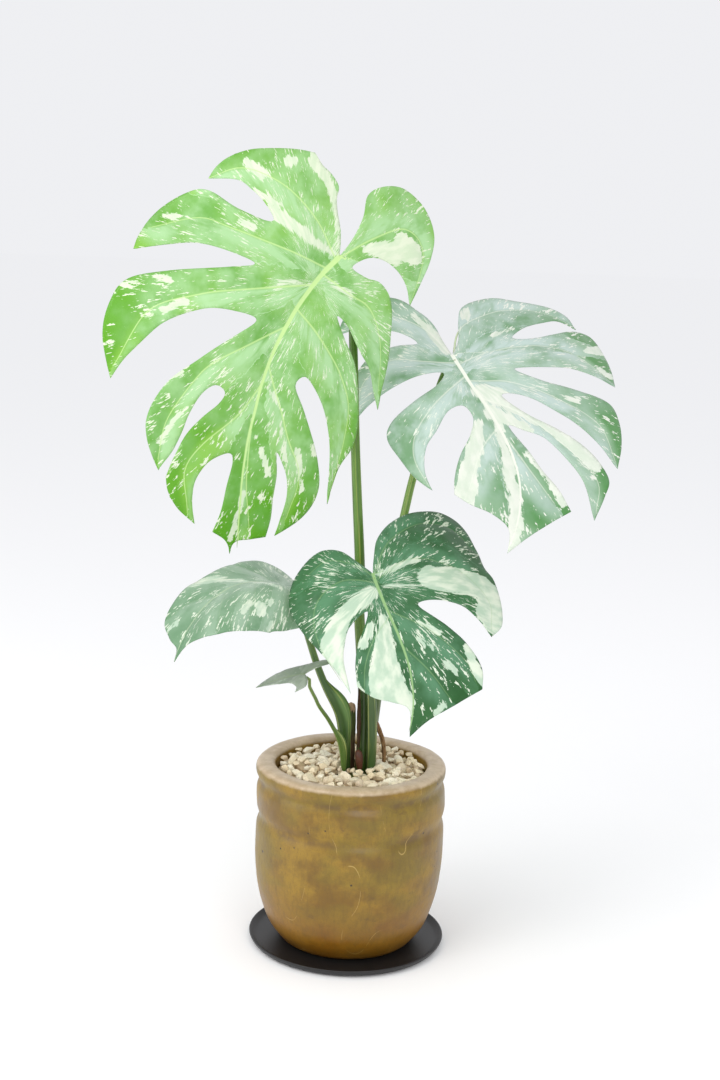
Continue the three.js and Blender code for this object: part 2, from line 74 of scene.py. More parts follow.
LEAVES = {
    "top": {
        "at": (-27.6, -34, 674.4),
        "turn": (158, -75, -62),
        "length": 300,
        "width": 340,
        "droop": 37,
        "curl": (46, 26),
        "fold": 0.12,
        "crease": 12,
        "sway": (265, 160),
        "outline": [
            [(0, 0), (4, -22), (9, -38), (11, -51), (10, -63), (20, -72), (31, -77), (40, -86)],
            [(40, -86), (66, -84), (101, -77), (123, -67), (135, -56), (141, -44)],
            [(141, -44), (114, -46), (99, -38), (86, -28), (76, -16), (85, -13), (112, -19), (141, -32), (162, -27),
                (187, -6), (202, 23), (206, 40)],
            [(206, 40), (174, 29), (146, 22), (114, 24), (91, 29), (117, 38), (171, 54), (206, 70), (218, 96),
                (216, 128), (197, 163)],
            [(197, 163), (187, 135), (166, 101), (131, 79), (100, 74), (79, 77), (97, 95), (124, 122), (147, 150),
                (154, 182), (146, 205), (122, 232)],
            [(122, 232), (118, 212), (117, 190), (117, 172), (112, 152), (102, 141), (90, 145), (92, 156),
                (104, 172), (112, 190), (114, 212), (113, 236)],
            [(113, 236), (104, 250), (86, 264), (64, 274)],
            [(64, 274), (80, 247), (85, 228), (80, 209), (64, 198), (55, 206), (50, 232), (44, 257), (42, 278)],
            [(42, 278), (27, 283), (17, 290), (10, 299)],
            [(10, 299), (12, 287), (-2, 279), (-17, 273)],
            [(-17, 273), (-12, 254), (-4, 234), (4, 210), (14, 188), (2, 198), (-10, 212), (-20, 234), (-26, 270)],
            [(-26, 270), (-46, 248), (-53, 230), (-50, 210), (-36, 187), (-15, 163), (3, 143), (20, 124), (13, 114),
                (-4, 123), (-24, 142), (-41, 164), (-55, 190), (-72, 229)],
            [(-72, 229), (-70, 192), (-77, 170), (-76, 150), (-64, 126), (-44, 94), (-22, 72), (-6, 54), (-22, 60),
                (-44, 79), (-68, 95), (-98, 128)],
            [(-98, 128), (-94, 96), (-84, 62), (-70, 28), (-51, 13), (-32, 12), (-14, 7), (-29, -5), (-46, -9),
                (-66, -5), (-84, 6), (-98, 23)],
            [(-98, 23), (-106, -2), (-114, -26), (-116, -52), (-98, -74), (-70, -83), (-42, -77), (-25, -64),
                (-21, -42), (-11, -18), (0, 0)],
        ],
    },
    "right": {
        "at": (83.7, 64, 582),
        "turn": (-163, -37, 7),
        "length": 228,
        "width": 260,
        "droop": 22,
        "curl": (52, 22),
        "fold": 0.1,
        "crease": 10,
        "sway": (-32, -178),
        "outline": [
            [(0, 0), (4, -20), (8, -46), (18, -72), (36, -102), (64, -110), (92, -100), (106, -82)],
            [(106, -82), (80, -66), (56, -52), (40, -38), (31, -20), (56, -24), (86, -20), (110, 4), (117, 40)],
            [(117, 40), (98, 34), (62, 26), (40, 23), (15, 24), (27, 40), (56, 53), (82, 66), (89, 80), (82, 104),
                (72, 128), (56, 150)],
            [(56, 150), (59, 126), (52, 104), (38, 90), (22, 72), (6, 68), (0, 84), (8, 104), (22, 123), (32, 144),
                (36, 161)],
            [(36, 161), (22, 176), (3, 190), (-8, 206), (-2, 228)],
            [(-2, 228), (-23, 216), (-46, 205), (-70, 195)],
            [(-70, 195), (-64, 173), (-54, 153), (-45, 130), (-32, 97), (-46, 104), (-64, 115), (-78, 138),
                (-90, 166), (-92, 205)],
            [(-92, 205), (-108, 182), (-117, 162), (-104, 132), (-80, 107), (-54, 85), (-34, 61), (-52, 61),
                (-74, 76), (-98, 98), (-116, 122), (-130, 152)],
            [(-130, 152), (-142, 126), (-149, 98), (-146, 73), (-118, 58), (-84, 46), (-56, 28), (-84, 25),
                (-116, 25), (-140, 31), (-165, 44)],
            [(-165, 44), (-172, 12), (-172, -16), (-164, -38), (-142, -39), (-112, -26), (-84, -17), (-67, -19),
                (-86, -35), (-110, -47), (-132, -54), (-150, -46)],
            [(-150, -46), (-144, -66), (-124, -78), (-92, -82), (-64, -85), (-42, -80), (-26, -68), (-18, -47),
                (-11, -20), (0, 0)],
        ],
    },
    "front": {
        "at": (13, -60, 387),
        "turn": (-165, -34, 6),
        "length": 172,
        "width": 220,
        "droop": 22,
        "curl": (50, 32),
        "fold": 0.1,
        "crease": 8,
        "sway": (-2, -88),
        "outline": [
            [(0, 0), (12, -16), (24, -32), (42, -38), (62, -28), (80, -8), (87, 18), (80, 46), (67, 72), (54, 98),
                (44, 124)],
            [(44, 124), (45, 92), (40, 72), (32, 57), (14, 45), (20, 62), (29, 78), (35, 98), (37, 118)],
            [(37, 118), (24, 132), (8, 139), (-6, 148), (-2, 172)],
            [(-2, 172), (-20, 160), (-47, 148), (-77, 134)],
            [(-77, 134), (-81, 114), (-72, 88), (-56, 68), (-34, 43), (-56, 38), (-78, 44), (-92, 60), (-101, 78)],
            [(-101, 78), (-118, 62), (-128, 30), (-130, -2), (-122, -18), (-120, -44), (-112, -80), (-94, -94),
                (-66, -89), (-36, -72), (-14, -46), (-5, -20), (0, 0)],
        ],
    },
    "left": {
        "at": (-58, -8, 356),
        "turn": (126, 28, 1),
        "length": 165,
        "width": 150,
        "droop": 98,
        "curl": (-2, 75),
        "fold": 0.3,
        "crease": 8,
        "sway": (70, 5),
        "outline": [
            [(0, 0), (12, -16), (34, -22), (54, -8), (58, 16), (50, 42), (43, 70), (41, 100), (33, 134), (16, 148),
                (3, 154), (0, 166)],
            [(0, 166), (-10, 149), (-26, 137), (-42, 124), (-60, 106), (-80, 76), (-86, 45), (-80, 16), (-62, -10),
                (-36, -22), (-12, -16), (0, 0)],
        ],
    },
    "young": {
        "at": (-48, -40, 283),
        "turn": (69, -16, -25),
        "length": 57,
        "width": 46,
        "droop": 14,
        "curl": (29, 20),
        "fold": 0.25,
        "crease": 3,
        "sway": (0, 0),
        "outline": [
            [(0, 0), (6, -10), (11, -24), (16, -29)],
            [(16, -29), (18, -16), (14, 2), (13, 18), (10, 34), (4, 48), (0, 57)],
            [(0, 57), (-6, 38), (-10, 22), (-14, 10), (-22, 2), (-29, 2)],
            [(-29, 2), (-22, -8), (-10, -6), (0, 0)],
        ],
    },
}

STALKS = {
    "top": {
        "foot": [(9, 1, 177.2), (10, 3, 206), (9, 6, 256), (2, 10, 330), (1, 11, 375), (-4, 12, 443),
            (-8, 12, 500), (-13, 9, 590), (-18, 2, 640)],
        "size": (6.2, 3.6),
        "wing": 4,
        "wingEnd": 0.3,
        "side": (-0.2, 1, 0),
    },
    "right": {
        "foot": [(16, 12, 177.2), (18, 13, 206), (22, 18, 256), (28, 30, 322), (37, 44, 390), (44, 52, 430),
            (51, 60, 463), (63, 73, 508), (73, 81, 548)],
        "size": (5.2, 3.4),
        "wing": 3,
        "wingEnd": 0.25,
        "side": (0.6, 0.8, 0),
    },
    "front": {
        "foot": [(19, -6, 177.2), (18.5, -6.5, 206), (16, -8, 256), (14, -15, 301), (13, -30, 340),
            (13, -46, 366)],
        "size": (4.6, 2.8),
        "wing": 2,
        "wingEnd": 0.4,
        "side": (1, 0.1, 0),
    },
    "left": {
        "foot": [(-6, -3, 177.2), (-8.5, -4, 200), (-14, -5, 232), (-27, -7, 259), (-36, -8, 280), (-46, -9, 309),
            (-53, -6, 330)],
        "size": (4.8, 2.9),
        "wing": 11,
        "wingEnd": 0.5,
        "side": (0.7, -0.3, 0.6),
    },
    "young": {
        "foot": [(-8, -11.5, 177.2), (-10, -14, 196), (-14.5, -18, 214), (-24, -24, 233), (-33, -32, 248),
            (-37, -35, 257), (-43, -39, 270)],
        "size": (2.6, 1.5),
        "wing": 4.5,
        "wingEnd": 0.42,
        "side": (0.8, 0, 0.4),
    },
}

# Side veins of each blade: the height on the midrib where a vein leaves it, then the points it runs through.
VEINS = {
    "top": [
        (4, [(30, -25), (70, -50), (110, -58), (141, -44)]),
        (14, [(57, 9), (114, 1), (146, -4), (190, 14)]),
        (32, [(91, 52), (138, 68), (181, 95), (197, 150)]),
        (75, [(103, 117), (122, 141), (134, 185), (126, 222)]),
        (130, [(70, 165), (92, 195), (98, 225), (76, 264)]),
        (3, [(-35, -25), (-75, -45), (-103, -30), (-98, 18)]),
        (20, [(-17, 31), (-44, 38), (-70, 64), (-92, 110)]),
        (57, [(7, 76), (-33, 107), (-59, 144), (-70, 215)]),
        (112, [(32, 141), (5, 175), (-22, 205), (-30, 250)]),
        (165, [(40, 200), (26, 232), (4, 268)]),
    ],
    "right": [
        (2, [(20, -45), (60, -85), (100, -84)]),
        (12, [(28, 5), (63, -7), (95, 5), (112, 32)]),
        (30, [(30, 58), (58, 85), (66, 112), (58, 144)]),
        (2, [(-20, -40), (-70, -65), (-120, -66), (-148, -50)]),
        (14, [(-40, 0), (-100, -8), (-140, 5), (-162, 36)]),
        (36, [(-50, 45), (-90, 68), (-125, 100), (-130, 144)]),
        (60, [(-50, 85), (-85, 130), (-105, 165), (-96, 196)]),
        (100, [(-38, 140), (-56, 184)]),
        (96, [(0, 120), (20, 158)]),
    ],
    "front": [
        (10, [(-40, -15), (-85, -5), (-112, 30), (-103, 70)]),
        (4, [(-22, -38), (-60, -68), (-96, -70), (-114, -44)]),
        (12, [(30, 5), (60, 25), (65, 65), (48, 116)]),
        (5, [(14, -12), (38, -24), (60, -14)]),
        (45, [(-38, 70), (-66, 104), (-72, 126)]),
        (52, [(14, 76), (26, 100), (30, 120)]),
        (85, [(-30, 112), (-44, 140)]),
    ],
    "left": [
        (4, [(25, -10), (46, 0)]),
        (22, [(30, 28), (48, 44)]),
        (52, [(28, 66), (40, 88)]),
        (90, [(24, 108), (30, 130)]),
        (4, [(-30, -10), (-60, -4), (-76, 14)]),
        (18, [(-30, 30), (-60, 50), (-80, 74)]),
        (44, [(-25, 66), (-50, 90), (-60, 102)]),
        (78, [(-14, 98), (-36, 122)]),
    ],
    "young": [
        (3, [(-14, 4), (-25, 2)]),
        (3, [(9, -12), (14, -25)]),
        (16, [(-8, 24), (-11, 28)]),
        (16, [(8, 24), (11, 32)]),
    ],
}

# Cream streaks and sectors of each blade: the points one runs through, and half its width at both ends.
STREAKS = {
    "top": [
        ([(40, -80), (20, -60), (10, -34), (4, -8)], 8, 2),
        ([(4, -1), (34, -6), (58, -15), (78, -22)], 3, 8),
        ([(96, -38), (74, -30)], 3, 5),
        ([(108, -64), (90, -55)], 4, 5),
        ([(68, -71), (60, -74)], 4, 3),
        ([(180, 0), (166, -2)], 3, 2),
        ([(110, -5), (95, -5)], 3, 4),
        ([(-72, -28), (-90, -24)], 13, 12),
        ([(-28, -14), (-60, -18)], 4, 13),
        ([(62, 38), (24, 32)], 3, 2),
        ([(8, 26), (-18, 32)], 2, 4),
        ([(209, 76), (198, 72)], 3, 2),
        ([(183, 62), (168, 62)], 3, 3),
        ([(168, 89), (150, 78)], 3, 4),
        ([(126, 174), (132, 206)], 3, 4),
        ([(150, 150), (138, 138)], 3, 3),
        ([(46, 132), (26, 148)], 3, 2),
        ([(41, 178), (14, 210)], 2, 4),
        ([(22, 160), (2, 192)], 2, 4),
        ([(-8, 182), (-32, 218)], 4, 3),
        ([(28, 234), (24, 258), (18, 284)], 3, 3),
        ([(-24, 174), (-29, 182)], 3, 3),
    ],
    "right": [
        ([(24, -68), (14, -40), (4, -8)], 3, 7),
        ([(-30, -64), (-28, -54)], 6, 5),
        ([(-48, -22), (-70, -34)], 3, 3),
        ([(-148, -8), (-172, -15)], 4, 9),
        ([(-156, 18), (-165, 28)], 4, 5),
        ([(-16, 52), (-50, 78), (-84, 110), (-104, 142)], 10, 13),
        ([(-20, 80), (-50, 104)], 9, 5),
        ([(-43, 129), (-56, 157), (-66, 184)], 4, 6),
        ([(-3, 92), (6, 118), (20, 146), (28, 170)], 6, 12),
        ([(-14, 60), (-22, 98), (-22, 126), (-20, 160), (-18, 190), (-8, 220)], 2.5, 9),
        ([(-90, 67), (-110, 70)], 2, 4),
    ],
    "front": [
        ([(-56, 12), (-90, 12), (-116, 22), (-112, 56)], 16, 22),
        ([(-4, 2), (-45, -13)], 3, 5),
        ([(-8, 18), (-50, 21)], 2, 2),
        ([(6, 24), (30, 40), (48, 62), (54, 90), (46, 122)], 8, 15),
        ([(1, 54), (6, 88), (9, 118), (8, 142)], 5, 20),
        ([(14, 62), (24, 78)], 4, 6),
        ([(-72, 90), (-78, 130)], 4, 5),
        ([(-30, 61), (-48, 75)], 3, 3),
        ([(-27, 80), (-38, 91)], 2, 3),
        ([(-48, 107), (-54, 118)], 4, 4),
        ([(-28, 153), (-35, 148)], 4, 4),
    ],
    "left": [
        ([(42, 94), (28, 66), (2, 46), (-24, 36)], 5, 3),
        ([(-45, 70), (-54, 73)], 7, 6),
        ([(-42, 91), (-34, 77)], 4, 4),
        ([(-44, 58), (-47, 60)], 5, 4),
        ([(-72, 68), (-76, 74)], 5, 4),
        ([(22, 140), (19, 133)], 3, 4),
    ],
    "young": [([(-6, 34), (-4, 20)], 1, 1)],
}


# Shapes


def smooth_run(points, step):
    """Points about one step apart on a smooth line through the given ones (a Catmull-Rom line)."""
    points = [Vector(p) for p in points]
    ends = [points[0] * 2 - points[1], *points, points[-1] * 2 - points[-2]]
    line = []
    for before, start, end, after in zip(ends, ends[1:], ends[2:], ends[3:]):
        count = max(1, round((end - start).length / step))
        for i in range(count):
            u = i / count
            line.append(
                0.5
                * (
                    2 * start
                    + (end - before) * u
                    + (2 * before - 5 * start + 4 * end - after) * u**2
                    + (3 * start - before - 3 * end + after) * u**3
                )
            )
    line.append(points[-1])
    return line


def turned(bm, profile, steps, closed=False):
    """Turns a profile of (radius, height) round the upright axis."""
    corners = [bm.verts.new((radius * MM, 0, height * MM)) for radius, height in profile]
    pairs = list(zip(corners, corners[1:]))
    if closed:
        pairs.append((corners[-1], corners[0]))
    edges = [bm.edges.new(pair) for pair in pairs]
    full = 2 * math.pi
    bmesh.ops.spin(
        bm, geom=corners + edges, cent=(0, 0, 0), axis=(0, 0, 1), angle=full, steps=steps, use_merge=True
    )
    bmesh.ops.remove_doubles(bm, verts=bm.verts, dist=0.01 * MM)
    bmesh.ops.recalc_face_normals(bm, faces=bm.faces)


def rod(bm, path, reach, sides, step=4.0, rounded=True):
    """Extrudes a ring along a smooth path in millimetres.

    reach(u, outwards) is the ring's radius at the share u of the length, where outwards is the unit vector
    from the path to that side. The layer "grain" keeps each corner's place round and along the rod.
    """
    line = smooth_run(path, step)
    length = [0.0]
    for a, b in zip(line, line[1:]):
        length.append(length[-1] + (b - a).length)
    total = length[-1]
    turn_layer = bm.verts.layers.float.get("turn") or bm.verts.layers.float.new("turn")
    grain = bm.verts.layers.float_vector.get("grain") or bm.verts.layers.float_vector.new("grain")
    winged = bm.verts.layers.float_vector.get("wing") or bm.verts.layers.float_vector.new("wing")
    ring = bmesh.ops.create_circle(bm, segments=sides, radius=1, cap_ends=True)["verts"]
    for vert in ring:
        vert[turn_layer] = math.atan2(vert.co.y, vert.co.x)
    edges = list({edge for vert in ring for edge in vert.link_edges})
    across = None
    for i, point in enumerate(line):
        ahead = (line[min(i + 1, len(line) - 1)] - line[max(i - 1, 0)]).normalized()
        if across is None:
            across = ahead.orthogonal().normalized()
        across = (across - ahead * across.dot(ahead)).normalized()
        beside = ahead.cross(across)
        if i > 0:
            made = bmesh.ops.extrude_edge_only(bm, edges=edges)["geom"]
            ring = [item for item in made if isinstance(item, bmesh.types.BMVert)]
            inside = set(ring)
            edges = [
                item
                for item in made
                if isinstance(item, bmesh.types.BMEdge) and set(item.verts) <= inside
            ]
        u = length[i] / total
        end = 1.0
        if rounded:
            near = min(length[i], total - length[i]) / max(reach(u, across), 0.01)
            end = math.sqrt(max(0.05, 1 - (1 - min(1, near)) ** 2))
        for vert in ring:
            turn = vert[turn_layer]
            outwards = across * math.cos(turn) + beside * math.sin(turn)
            vert.co = (point + outwards * reach(u, outwards) * end) * MM
            vert[grain] = (math.cos(turn), math.sin(turn), length[i])
            vert[winged] = (reach(u, outwards) - reach(u, -outwards), 0, 0)
    bmesh.ops.contextual_create(bm, geom=edges)


def finished(bm, name, nodes, skins, sharp=None):
    """Makes the bmesh an object that stands for CAD nodes and takes the given skins."""
    mesh = bpy.data.meshes.new(name)
    bm.to_mesh(mesh)
    bm.free()
    for polygon in mesh.polygons:
        polygon.use_smooth = True
    if sharp is not None:
        mesh.set_sharp_from_angle(angle=math.radians(sharp))
    for skin in skins:
        mesh.materials.append(skin)
    piece = bpy.data.objects.new(name, mesh)
    bpy.context.scene.collection.objects.link(piece)
    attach(piece, "root")
    if nodes:
        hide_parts(*nodes)
    return piece


# Materials


class Skin:
    """A Principled material whose nodes are made and linked by short calls."""

    def __init__(self, name, **settings):
        self.material = bpy.data.materials.new(name)
        self.material.use_nodes = True
        self.tree = self.material.node_tree
        self.shader = self.tree.nodes["Principled BSDF"]
        for socket, value in settings.items():
            self.shader.inputs[socket.replace("_", " ")].default_value = value

    def set(self, socket, value):
        if isinstance(value, bpy.types.NodeSocket):
            self.tree.links.new(value, socket)
        else:
            socket.default_value = value

    def node(self, kind):
        return self.tree.nodes.new("ShaderNode" + kind)

    def place(self, size=1.0, stretch=(1, 1, 1)):
        """Object coordinates in units of size millimetres."""
        mapping = self.node("Mapping")
        self.tree.links.new(self.node("TexCoord").outputs["Object"], mapping.inputs["Vector"])
        mapping.inputs["Scale"].default_value = [axis / (size * MM) for axis in stretch]
        return mapping.outputs["Vector"]

    def attribute(self, name, scale=(1, 1, 1)):
        source = self.node("Attribute")
        source.attribute_name = name
        mapping = self.node("Mapping")
        self.tree.links.new(source.outputs["Vector"], mapping.inputs["Vector"])
        mapping.inputs["Scale"].default_value = scale
        return mapping.outputs["Vector"]

    def parts(self, vector):
        split = self.node("SeparateXYZ")
        self.tree.links.new(vector, split.inputs[0])
        return split.outputs

    def noise(self, vector, detail=2.0, roughness=0.5, distortion=0.0):
        made = self.node("TexNoise")
        self.tree.links.new(vector, made.inputs["Vector"])
        made.inputs["Scale"].default_value = 1.0
        made.inputs["Detail"].default_value = detail
        made.inputs["Roughness"].default_value = roughness
        made.inputs["Distortion"].default_value = distortion
        return made.outputs["Fac"]

    def cells(self, vector):
        made = self.node("TexVoronoi")
        self.tree.links.new(vector, made.inputs["Vector"])
        made.inputs["Scale"].default_value = 1.0
        return made.outputs

    def math(self, operation, a, b=0.0):
        made = self.node("Math")
        made.operation = operation
        self.set(made.inputs[0], a)
        self.set(made.inputs[1], b)
        return made.outputs[0]

    def ramp(self, value, low, high, start=0.0, end=1.0):
        made = self.node("MapRange")
        made.interpolation_type = "SMOOTHSTEP"
        for socket, number in zip(made.inputs, (value, low, high, start, end)):
            self.set(socket, number)
        return made.outputs[0]

    def mix(self, share, a, b):
        made = self.node("Mix")
        made.data_type = "RGBA"
        self.set(made.inputs[0], share)
        self.set(made.inputs[6], a)
        self.set(made.inputs[7], b)
        return made.outputs[2]

    def bump(self, height, depth, strength=1.0):
        made = self.node("Bump")
        made.inputs["Strength"].default_value = strength
        made.inputs["Distance"].default_value = depth * MM
        self.tree.links.new(height, made.inputs["Height"])
        self.tree.links.new(made.outputs["Normal"], self.shader.inputs["Normal"])

    def colour(self, value):
        self.set(self.shader.inputs["Base Color"], value)

    def roughness(self, value):
        self.set(self.shader.inputs["Roughness"], value)


def mottled_skin(name, dark, pale, roughness):
    skin = Skin(name, Roughness=roughness)
    skin.colour(skin.mix(skin.noise(skin.place(4), 4, 0.7), dark, pale))
    return skin.material


def saucer_skin():
    skin = Skin("saucer_black", Roughness=0.42)
    skin.colour(skin.mix(skin.noise(skin.place(20), 3), lit(22, 22, 23), lit(30, 30, 31)))
    skin.bump(skin.noise(skin.place(1.5)), 0.05, 0.4)
    return skin.material


def glaze_skin():
    """Ochre stoneware glaze: cloudy, with painted shade in the grooves, scratched, pitted, bare and pale on the lip."""
    skin = Skin("pot_glaze", Specular_IOR_Level=0.5, Coat_Weight=0.12, Coat_Roughness=0.22)
    clouds = skin.noise(skin.place(42, (1, 1, 1.3)), 5, 0.62)
    colour = skin.mix(skin.ramp(clouds, 0.34, 0.66), lit(118, 86, 4), lit(156, 122, 26))
    olive = skin.noise(skin.place(60, (1, 1, 2)), 3)
    colour = skin.mix(skin.ramp(olive, 0.42, 0.6, 0, 0.5), colour, lit(118, 104, 18))
    height = skin.parts(skin.place())[2]
    colour = skin.mix(skin.ramp(height, 95, 10, 0, 0.7), colour, lit(136, 84, 12))
    brushed = skin.noise(skin.place(4, (1, 1, 0.3)), 4, 0.7)
    colour = skin.mix(skin.ramp(brushed, 0.44, 0.66, 0, 0.3), colour, lit(98, 74, 20))
    rings = skin.noise(skin.place(16, (0.25, 0.25, 2.4)), 3, 0.6)
    colour = skin.mix(skin.ramp(rings, 0.58, 0.72, 0, 0.12), colour, lit(112, 86, 38))
    # Painted shade: the glaze is darkened in patches along the two grooves.
    for level, reach, depth in ((130, 6, 0.5), (167, 6, 0.65)):
        groove_shade = skin.ramp(skin.math("ABSOLUTE", skin.math("SUBTRACT", height, level)), reach, 0)
        patchy = skin.ramp(skin.noise(skin.place(26), 4, 0.65), 0.46, 0.62, 0, depth)
        colour = skin.mix(skin.math("MULTIPLY", groove_shade, patchy), colour, lit(96, 70, 34))
    stains = skin.ramp(skin.noise(skin.place(24, (1, 1, 1.4)), 5, 0.74), 0.6, 0.69, 0, 0.5)
    colour = skin.mix(stains, colour, lit(96, 70, 26))
    wander = skin.noise(skin.place(46, (1, 1, 0.4)), 0)
    contour = skin.ramp(skin.math("ABSOLUTE", skin.math("SUBTRACT", wander, 0.5)), 0.003, 0.0008)
    scratches = skin.math("MULTIPLY", contour, skin.ramp(skin.noise(skin.place(19), 2), 0.48, 0.58, 0, 0.6))
    colour = skin.mix(scratches, colour, lit(204, 172, 100))
    specks = skin.noise(skin.place(0.9), 2, 0.7)
    colour = skin.mix(skin.ramp(specks, 0.5, 0.75, 0, 0.4), colour, lit(84, 64, 30))
    pits = skin.cells(skin.place(21))
    pit = skin.ramp(pits["Distance"], 0.075, 0.05)
    colour = skin.mix(pit, colour, lit(50, 34, 18))
    worn = skin.math("ADD", height, skin.math("MULTIPLY", skin.noise(skin.place(8), 4, 0.65), 3))
    grain = skin.noise(skin.place(11), 5, 0.7)
    stone = skin.mix(skin.ramp(grain, 0.35, 0.65), lit(190, 166, 134), lit(210, 188, 158))
    colour = skin.mix(skin.ramp(worn, 181, 185), colour, stone)
    skin.colour(colour)
    skin.roughness(skin.ramp(clouds, 0.3, 0.7, 0.32, 0.5))
    relief = skin.math("ADD", skin.noise(skin.place(5), 4, 0.6), skin.math("MULTIPLY", pit, -1.5))
    relief = skin.math("ADD", relief, skin.math("MULTIPLY", scratches, -0.4))
    skin.bump(relief, 0.5, 0.5)
    return skin.material


def pumice_skin():
    skin = Skin("pumice_gravel", Roughness=0.92, Specular_IOR_Level=0.25)
    tone = skin.parts(skin.attribute("stone"))
    colour = skin.mix(tone[0], lit(248, 230, 196), lit(262, 254, 232))
    colour = skin.mix(skin.ramp(tone[1], 0.86, 0.94, 0, 0.5), colour, lit(190, 156, 120))
    dirt = skin.noise(skin.place(4), 4, 0.7)
    colour = skin.mix(skin.ramp(dirt, 0.5, 0.75, 0, 0.5), colour, lit(186, 160, 122))
    pores = skin.cells(skin.place(1.7))["Distance"]
    hole = skin.ramp(pores, 0.28, 0.14)
    colour = skin.mix(skin.math("MULTIPLY", hole, 0.35), colour, lit(140, 114, 80))
    skin.colour(colour)
    skin.bump(skin.math("SUBTRACT", skin.noise(skin.place(1.2), 4, 0.7), hole), 0.5, 0.7)
    return skin.material


def stalk_skin(name, dark, green, light, stripe, stripes=0.6):
    """A stalk's skin: long pale stripes on green, darker towards the crown, light on the sheath's edge."""
    skin = Skin(name, Roughness=0.36, Specular_IOR_Level=0.5)
    shade = skin.noise(skin.attribute("grain", (1.6, 1.6, 0.012)), 3, 0.6)
    colour = skin.mix(skin.ramp(shade, 0.38, 0.62), green, light)
    height = skin.parts(skin.place())[2]
    colour = skin.mix(skin.ramp(height, 320, 230, 0, 0.9), colour, dark)
    edge = skin.parts(skin.attribute("wing"))[0]
    colour = skin.mix(skin.ramp(edge, 2.5, 7, 0, 0.9), colour, light)
    lines = skin.noise(skin.attribute("grain", (2.6, 2.6, 0.006)), 2, 0.6)
    colour = skin.mix(skin.ramp(lines, 0.6, 0.65, 0, stripes), colour, stripe)
    thin = skin.noise(skin.attribute("grain", (7, 7, 0.012)), 2, 0.6)
    colour = skin.mix(skin.ramp(thin, 0.62, 0.7, 0, 0.45), colour, stripe)
    skin.colour(colour)
    skin.bump(skin.noise(skin.attribute("grain", (7, 7, 0.05)), 3), 0.25, 0.5)
    return skin.material


def dry_skin(name, pale, dark):
    skin = Skin(name, Roughness=0.85, Specular_IOR_Level=0.25)
    fibre = skin.noise(skin.attribute("grain", (5, 5, 0.08)), 4, 0.65)
    skin.colour(skin.mix(skin.ramp(fibre, 0.38, 0.62), dark, pale))
    skin.bump(fibre, 0.6, 0.7)
    return skin.material


def stub_skin():
    """Green below and brown at the foot, with a pale woody cut at the top."""
    skin = Skin("stub_tissue", Roughness=0.7)
    height = skin.parts(skin.place())[2]
    fibre = skin.noise(skin.attribute("grain", (4, 4, 0.1)), 3, 0.6)
    colour = skin.mix(skin.ramp(fibre, 0.4, 0.62), lit(62, 78, 34), lit(104, 118, 56))
    colour = skin.mix(skin.ramp(height, 222, 200, 0, 0.85), colour, lit(92, 60, 42))
    cut = skin.math("ADD", height, skin.math("MULTIPLY", fibre, 12))
    skin.colour(skin.mix(skin.ramp(cut, 240, 242), colour, lit(206, 170, 138)))
    skin.bump(fibre, 0.6, 0.7)
    return skin.material


def ragged_field(skin):
    """How deep a spot lies inside the nearest cream streak, in millimetres, with a ragged, streaky edge."""
    field = skin.parts(skin.attribute("rib"))[2]
    streaky = skin.noise(skin.attribute("grain", (1 / 2.6, 1 / 5, 1)), 4, 0.7)
    broad = skin.noise(skin.attribute("grain", (1 / 9, 1 / 9, 1)), 2)
    swing = skin.math("ADD", skin.math("MULTIPLY", streaky, 15), skin.math("MULTIPLY", broad, 9))
    return skin.math("ADD", field, skin.math("SUBTRACT", swing, 12.4))


def fleck_field(skin, share):
    """Thin flecks that run along the veins and crowd in some places."""
    crowd = skin.ramp(skin.noise(skin.attribute("flat", [1 / 30] * 3), 3), 0.34, 0.66, 0.06, -0.035)
    small = skin.noise(skin.attribute("grain", (1 / 1.3, 1 / 3.6, 1)), 2, 0.6)
    large = skin.noise(skin.attribute("grain", (1 / 2.4, 1 / 5, 1)), 5, 0.7)
    return skin.math(
        "MAXIMUM",
        skin.ramp(skin.math("SUBTRACT", small, crowd), 0.645 - share, 0.67 - share),
        skin.ramp(skin.math("SUBTRACT", large, crowd), 0.602 - share, 0.612 - share),
    )


